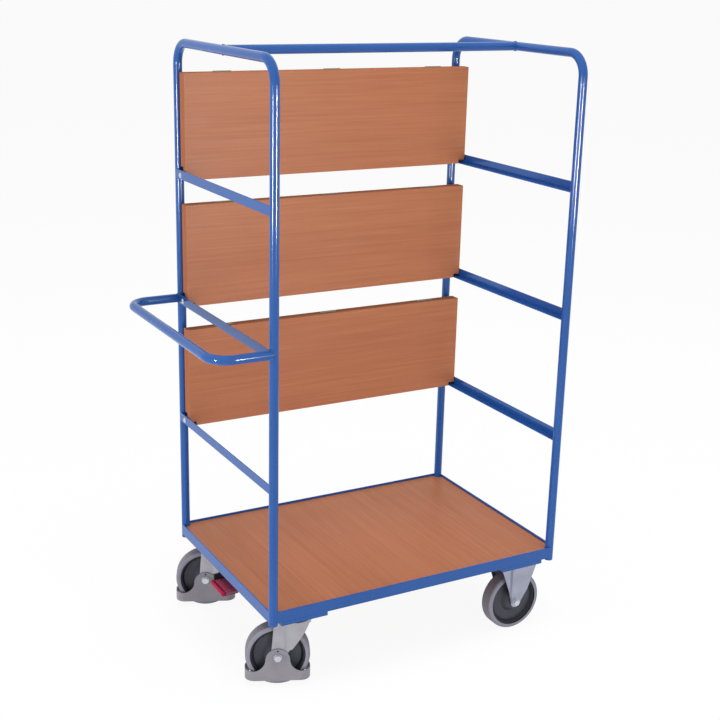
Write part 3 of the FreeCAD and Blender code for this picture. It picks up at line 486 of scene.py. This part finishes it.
def gridFaces(rows, columns, closedRows, closedColumns, first=0):  # quads of a grid of points, in order
    index = np.arange(rows * columns).reshape(rows, columns) + first
    if closedRows:
        index = np.vstack([index, index[:1]])
    if closedColumns:
        index = np.hstack([index, index[:, :1]])
    corners = [index[:-1, :-1], index[:-1, 1:], index[1:, 1:], index[1:, :-1]]
    return np.stack(corners, -1).reshape(-1, 4)


def surfacePiece(name, sheets, body, material):  # sheets are (points, closedRows, closedColumns)
    points, faces, first = [], [], 0
    for grid, closedRows, closedColumns in sheets:
        points.append(grid.reshape(-1, 3))
        faces.append(gridFaces(*grid.shape[:2], closedRows, closedColumns, first))
        first += len(points[-1])
    mesh = bpy.data.meshes.new(name)
    mesh.from_pydata(np.vstack(points).tolist(), [], np.vstack(faces).tolist())
    shell = bmesh.new()
    shell.from_mesh(mesh)
    bmesh.ops.remove_doubles(shell, verts=shell.verts, dist=poleGap)  # closes the poles
    bmesh.ops.recalc_face_normals(shell, faces=shell.faces)
    shell.to_mesh(mesh)
    shell.free()
    mesh.polygons.foreach_set("use_smooth", np.ones(len(mesh.polygons), bool))
    mesh.update()
    piece = bpy.data.objects.new(name, mesh)
    bpy.context.scene.collection.objects.link(piece)
    mesh.materials.append(material)
    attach(piece, body)


# Weld beads: a rippled round bead carried along the seam

weld = {
    "radius": 0.0022,
    "ripple": 0.13,  # share of the radius
    "pitch": 0.0028,  # from ripple to ripple
    "sides": 8,
    "step": 0.0009,
    "fewest": 8,  # points on a short bead
    "taper": 3.0,  # length of an open end in radii
    "round": 0.06,  # softens the seam where it turns back
    "offAxis": (0.31, 0.52, 0.79),  # a direction that no seam follows
    "railWall": 0.003,  # thickness of the rails' steel
}


def bead(path, closed):
    # circle of radius r(s) = radius * (1 + ripple * sin(2 pi s / pitch)) about each point of the path,
    # in the plane across it; an open bead narrows to a point at both ends as a half ellipse
    forward = np.roll(path, -1, 0) - np.roll(path, 1, 0)
    if not closed:
        forward[0], forward[-1] = path[1] - path[0], path[-1] - path[-2]
    forward /= np.linalg.norm(forward, axis=1, keepdims=True)
    aside = np.cross(forward, weld["offAxis"])
    aside /= np.linalg.norm(aside, axis=1, keepdims=True)
    over = np.cross(forward, aside)
    steps = np.linalg.norm(np.roll(path, -1, 0) - path, axis=1)
    run = np.concatenate([[0.0], np.cumsum(steps[:-1])])
    whole = run[-1] + (steps[-1] if closed else 0.0)
    ripples = max(1, round(whole / weld["pitch"]))
    radius = weld["radius"] * (1 + weld["ripple"] * np.sin(2 * np.pi * ripples * run / whole))
    if not closed:
        taper = weld["taper"] * weld["radius"]
        share = np.clip(run / taper, 0, 1) * np.clip((whole - run) / taper, 0, 1)
        radius = radius * np.sqrt(1 - (1 - share) ** 2)
    angle = np.linspace(0, 2 * np.pi, weld["sides"], endpoint=False)[None, :, None]
    ring = np.cos(angle) * aside[:, None, :] + np.sin(angle) * over[:, None, :]
    return path[:, None, :] + radius[:, None, None] * ring, closed, True


def saddleBead(centre, branch, post, tube):
    # seam of a tube that meets another of the same radius R at a right angle:
    # p(t) = centre + R (branch * |sin t| + post * sin t + side * cos t), with |sin t| rounded near 0
    count = int(2 * np.pi * tube / weld["step"])
    t = np.linspace(0, 2 * np.pi, count, endpoint=False)[:, None]
    branch, post = np.array(branch, float), np.array(post, float)
    side = np.cross(branch, post)
    reach = np.sqrt(np.sin(t) ** 2 + weld["round"] ** 2)
    return bead(np.array(centre) + tube * (branch * reach + post * np.sin(t) + side * np.cos(t)), True)


def lineBead(start, stop):  # p(t) = start + (stop - start) t
    start, stop = np.array(start), np.array(stop)
    count = max(weld["fewest"], int(np.linalg.norm(stop - start) / weld["step"]))
    t = np.linspace(0, 1, count)[:, None]
    return bead(start + (stop - start) * t, False)


def arcBead(centre, radius, fromAngle, toAngle):  # level arc p(t) = centre + radius (cos t, sin t, 0)
    count = max(weld["fewest"], int(abs(toAngle - fromAngle) * radius / weld["step"]))
    t = np.linspace(fromAngle, toAngle, count)
    path = np.stack([np.cos(t) * radius, np.sin(t) * radius, 0 * t], 1)
    return bead(np.array(centre) + path, False)


def middleOf(name):
    low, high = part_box(name)
    return (low + high) / 2


tieLow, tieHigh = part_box("top_tie_tube")
tubeRadius = (tieHigh.z - tieLow.z) / 2
handleMiddle = middleOf("push_handle")
leftX, rightX = middleOf("left_end_frame").x, middleOf("right_end_frame").x
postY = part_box("left_end_frame")[1].y - tubeRadius
tieMiddle = middleOf("top_tie_tube")
seams = []
for side in (-1, 1):
    seams.append(saddleBead((leftX, side * postY, handleMiddle.z), (-1, 0, 0), (0, 0, 1), tubeRadius))
for x, way in ((leftX, 1), (rightX, -1)):
    seams.append(saddleBead((x, tieMiddle.y, tieMiddle.z), (way, 0, 0), (0, 1, 0), tubeRadius))
surfacePiece("tube_welds", seams, "frame", finishes["blue_paint"])

railWall = weld["railWall"]
seams = []
for level in levels:
    for name, postX, inward in ((f"rail_left_{level}", leftX, 1), (f"rail_right_{level}", rightX, -1)):
        low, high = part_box(name)
        wallX = postX - inward * (tubeRadius - railWall)
        away = math.sqrt(tubeRadius ** 2 - (tubeRadius - railWall) ** 2)
        for side in (-1, 1):
            y = side * (postY - away)
            seams.append(lineBead((wallX, y, low.z + railWall), (wallX, y, high.z)))
            start = math.atan2(-side * away, wallX - postX)
            stop = 0.0 if inward > 0 else -side * math.pi  # the post's inner side
            middle = (postX, side * postY, low.z + railWall)
            seams.append(arcBead(middle, tubeRadius, start, stop))
surfacePiece("rail_welds", seams, "frame", finishes["blue_paint"])
print("welds:", len(seams), "seams on the rails")


# Hinge screws: low domed heads with a cross recess, three on every leaf

screw = {
    "radius": 0.0032,
    "rise": 0.0005,
    "foot": 0.0006,  # how far the head reaches into the leaf
    "slotWidth": 0.0009,
    "slotLength": 0.0042,
    "slotDepth": 0.0006,
    "rows": 10,
    "columns": 32,
    "along": (-0.021, 0.0, 0.021),
    "down": 0.0165,  # from the hinge line
    "leafHalf": 0.03,  # half the length of a leaf
}


def screwHead(x, y, z, facing):
    # height over the leaf h(r, a) = rise * (1 - (r / radius)^2), less slotDepth inside a cross
    # of two slots, then back to the middle at the depth of the foot
    out = np.linspace(0, 1, screw["rows"])
    r = np.concatenate([out, [1.0, 0.0]])[:, None] * screw["radius"]
    a = np.linspace(0, 2 * np.pi, screw["columns"], endpoint=False)[None, :]
    across, up = r * np.cos(a), r * np.sin(a)
    half, end = screw["slotWidth"] / 2, screw["slotLength"] / 2
    upright = (np.abs(across) < half) & (np.abs(up) < end)
    level = (np.abs(up) < half) & (np.abs(across) < end)
    inSlot = upright | level
    height = screw["rise"] * (1 - (r / screw["radius"]) ** 2) - screw["slotDepth"] * inSlot
    height[-2:] = -screw["foot"] - screw["slotDepth"]
    grid = np.stack([x + facing * across, y + facing * height, z + up], -1)
    return grid, False, True


for level in levels:
    for half, facing in (("rear", -1), ("front", 1)):
        fold = jointOf[f"{level}_shelf_fold"]["pos_m"]
        low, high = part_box(f"{level}_shelf_hinge_leaves_{half}")
        panelLow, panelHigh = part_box(f"{level}_shelf_{half}_panel")
        faceY = panelLow.y if facing < 0 else panelHigh.y
        heads = []
        for leafX in (low.x + screw["leafHalf"], (low.x + high.x) / 2, high.x - screw["leafHalf"]):
            for shift in screw["along"]:
                heads.append(screwHead(leafX + shift, faceY, fold[2] - screw["down"], facing))
        surfacePiece(f"{level}_{half}_hinge_screws", heads, f"{level}_shelf_{half}", boltZinc)
print("hinge screws:", len(heads), "on each board")


# Guard pins: round heads over the axle nuts, on both faces of each foot guard

guardPin = {
    "radius": 0.0028,
    "rise": 0.0012,
    "foot": 0.0008,  # how far the head reaches into the guard
    "above": 0.021,  # the axle
    "rows": 8,
    "columns": 24,
}


def pinHead(middle, outward):
    # quarter ellipse turned about the pin: r(t) = radius * sin t and height(t) = rise * cos t,
    # then back to the middle below the guard's face
    t = np.linspace(0, np.pi / 2, guardPin["rows"])
    r = np.concatenate([guardPin["radius"] * np.sin(t), [guardPin["radius"], 0.0]])[:, None, None]
    height = np.concatenate([guardPin["rise"] * np.cos(t), [-guardPin["foot"]] * 2])[:, None, None]
    a = np.linspace(0, 2 * np.pi, guardPin["columns"], endpoint=False)[None, :, None]
    up = np.array([0.0, 0.0, 1.0])
    across = np.cross(up, outward)
    return middle + r * (np.cos(a) * across + np.sin(a) * up) + height * outward, False, True


for castor in ("front", "rear"):
    roll = jointOf[f"swivel_{castor}_roll"]
    axle = np.array(roll["axis"]) / np.linalg.norm(roll["axis"])
    centre = np.array(roll["pos_m"])
    guard = nodes[f"foot_guard_{castor}"].data
    corners = np.empty(3 * len(guard.vertices))
    guard.vertices.foreach_get("co", corners)
    reach = ((corners.reshape(-1, 3) - centre) @ axle).max()  # from the wheel to the guard's face
    top = centre + np.array([0.0, 0.0, guardPin["above"]])
    heads = [pinHead(top + side * reach * axle, side * axle) for side in (-1, 1)]
    surfacePiece(f"foot_guard_{castor}_pins", heads, f"swivel_{castor}", darkZinc)
print("guard pins:", len(heads), "on each swivel castor")


# Camera, floor and studio light

photo = {
    "place": (-1.9082, -3.4880, 2.1438),
    "yaw": 29.32,
    "pitch": 17.188,  # downwards
    "roll": 1.379,
    "focal": 1294.3,  # in pixels of an image with this side
    "side": 720,
    "sensor": 36.0,
    "farthest": 500,
}


def photoCamera():
    yaw, pitch, roll = (math.radians(photo[key]) for key in ("yaw", "pitch", "roll"))
    flat = math.cos(pitch)
    ahead = Vector((math.sin(yaw) * flat, math.cos(yaw) * flat, -math.sin(pitch)))
    level = ahead.cross(Vector((0, 0, 1))).normalized()
    above = level.cross(ahead)
    right = level * math.cos(roll) + above * math.sin(roll)
    up = above * math.cos(roll) - level * math.sin(roll)
    data = bpy.data.cameras.new("photo camera")
    data.sensor_width = photo["sensor"]
    data.lens = photo["focal"] / photo["side"] * photo["sensor"]
    data.clip_end = photo["farthest"]
    camera = bpy.data.objects.new("photo camera", data)
    turned = Matrix((right, up, -ahead)).transposed().to_4x4()
    camera.matrix_world = Matrix.Translation(photo["place"]) @ turned
    bpy.context.scene.collection.objects.link(camera)
    bpy.context.scene.camera = camera


def seenRays(tree):  # 1 for rays from the camera, in mirrors and through glass, else 0
    path = tree.nodes.new("ShaderNodeLightPath")
    total = path.outputs["Is Camera Ray"]
    for name in ("Is Glossy Ray", "Is Transmission Ray"):
        larger = tree.nodes.new("ShaderNodeMath")
        larger.operation = "MAXIMUM"
        tree.links.new(total, larger.inputs[0])
        tree.links.new(path.outputs[name], larger.inputs[1])
        total = larger.outputs[0]
    return total


studio = {
    "fill": 0.46,  # light from all round on matte surfaces
    "floorHalf": 150.0,
    "floorColour": (0.92, 0.92, 0.93, 1.0),
    "floorRoughness": 0.9,
    "floorGlow": 0.92,  # share of plain white in the floor that the camera sees
    "boxes": {  # place, aim, size, watts
        "left box": ((-8.0, 0.2, 0.8), (0, 0, 0.6), (3.0, 1.4), 400),
        "front box": ((0.6, -7.0, 1.1), (0, 0, 0.7), (2.6, 1.8), 170),
        "top box": ((0.0, -0.8, 7.5), (0.05, 0, 0), (6.0, 4.5), 390),
    },
    "strips": {  # narrow lamps, seen only as bright lines on the paint or as a haze on the panels
        "left strip": ((-4.0, -1.7, 1.03), (-0.3, 0, 1.03), (0.3, 0.76), 140),
        "front strip": ((0.42, -3.06, 1.20), (0, 0, 1.2), (0.24, 0.70), 105),
    },
}


def studioFloor():
    half = studio["floorHalf"]
    mesh = bpy.data.meshes.new("floor")
    corners = [(-half, -half, 0), (half, -half, 0), (half, half, 0), (-half, half, 0)]
    mesh.from_pydata(corners, [], [(0, 1, 2, 3)])
    floor = bpy.data.objects.new("floor", mesh)
    bpy.context.scene.collection.objects.link(floor)
    material = bpy.data.materials.new("pale floor")
    material.use_nodes = True
    tree = material.node_tree
    matte = tree.nodes["Principled BSDF"]
    matte.inputs["Base Color"].default_value = studio["floorColour"]
    matte.inputs["Roughness"].default_value = studio["floorRoughness"]
    matte.inputs["Specular IOR Level"].default_value = 0.0
    white = tree.nodes.new("ShaderNodeEmission")
    share = tree.nodes.new("ShaderNodeMath")
    share.operation = "MULTIPLY"
    share.inputs[1].default_value = studio["floorGlow"]
    tree.links.new(seenRays(tree), share.inputs[0])
    mixed = tree.nodes.new("ShaderNodeMixShader")
    tree.links.new(share.outputs[0], mixed.inputs[0])
    tree.links.new(matte.outputs[0], mixed.inputs[1])
    tree.links.new(white.outputs[0], mixed.inputs[2])
    tree.links.new(mixed.outputs[0], tree.nodes["Material Output"].inputs["Surface"])
    mesh.materials.append(material)
    floor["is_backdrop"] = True


def piecesIn(name, materials):  # a collection of the pieces that carry one of these materials
    group = bpy.data.collections.new(name)
    for piece in bpy.data.objects:
        if piece.type == "MESH" and any(look.name in piece.data.materials for look in materials):
            group.objects.link(piece)
    return group


def studioLight():
    world = bpy.data.worlds.new("studio")
    world.use_nodes = True
    bpy.context.scene.world = world
    tree = world.node_tree
    white = (1.0, 1.0, 1.0, 1.0)
    fillLight = tree.nodes["Background"]
    fillLight.inputs["Color"].default_value = white
    fillLight.inputs["Strength"].default_value = studio["fill"]
    backdrop = tree.nodes.new("ShaderNodeBackground")
    backdrop.inputs["Color"].default_value = white
    mixed = tree.nodes.new("ShaderNodeMixShader")
    tree.links.new(seenRays(tree), mixed.inputs[0])
    tree.links.new(fillLight.outputs[0], mixed.inputs[1])
    tree.links.new(backdrop.outputs[0], mixed.inputs[2])
    tree.links.new(mixed.outputs[0], tree.nodes["World Output"].inputs["Surface"])
    paint = finishes["blue_paint"]
    takers = {"left strip": (paint,), "front strip": (paint, panelBeech)}  # what each strip shows on
    for kind in ("boxes", "strips"):
        for name, (place, aim, size, watts) in studio[kind].items():
            data = bpy.data.lights.new(name, "AREA")
            data.shape = "RECTANGLE"
            data.size, data.size_y = size
            data.energy = watts
            lamp = bpy.data.objects.new(name, data)
            lamp.location = place
            lamp.rotation_euler = (Vector(aim) - lamp.location).to_track_quat("-Z", "Y").to_euler()
            lamp.visible_glossy = kind == "strips"
            lamp.visible_diffuse = kind == "boxes"
            if kind == "strips":
                lamp.light_linking.receiver_collection = piecesIn(name + " takers", takers[name])
            bpy.context.scene.collection.objects.link(lamp)


photoCamera()
studioFloor()
studioLight()
bpy.context.scene.view_settings.view_transform = "Standard"
print("studio:", len(studio["boxes"]), "light boxes and", len(studio["strips"]), "strips")

low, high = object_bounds()
print("size:", [round(b - a, 4) for a, b in zip(low, high)], "metres")
